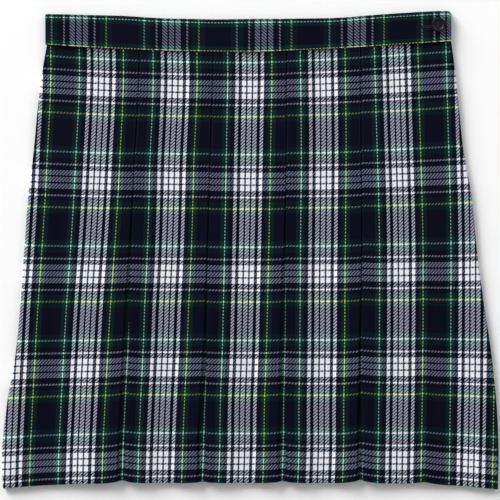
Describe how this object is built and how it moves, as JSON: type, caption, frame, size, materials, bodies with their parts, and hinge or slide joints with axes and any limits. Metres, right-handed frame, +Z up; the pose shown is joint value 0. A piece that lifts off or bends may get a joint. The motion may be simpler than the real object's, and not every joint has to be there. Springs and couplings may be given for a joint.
{
  "type": "box pleat skirt",
  "caption": "Tartan box pleat skirt with a buttoned waistband, lying flat with its front up.",
  "frame": {"origin": "middle of the skirt's outline, on the surface it lies on", "axes": "+X to the right seen from above, +Y from hem to waistband, +Z up out of the front"},
  "size_m": [0.4972, 0.4792, 0.0113],
  "materials": {
    "tartan": "twill wool blend, navy, green, white and yellow check, matt",
    "tartan_band": "the same twill cut across, interfaced, matt",
    "zip_tape": "navy knitted tape, matt",
    "slider_metal": "dark enamel, satin",
    "button": "navy plastic, low gloss",
    "thread": "navy sewing thread"
  },
  "bodies": {
    "root": {"waistband": "tartan_band", "skirt_front": "tartan", "skirt_back": "tartan", "side_zip": "zip_tape", "zip_slider": "slider_metal", "button": "button"}
  },
  "joints": []
}
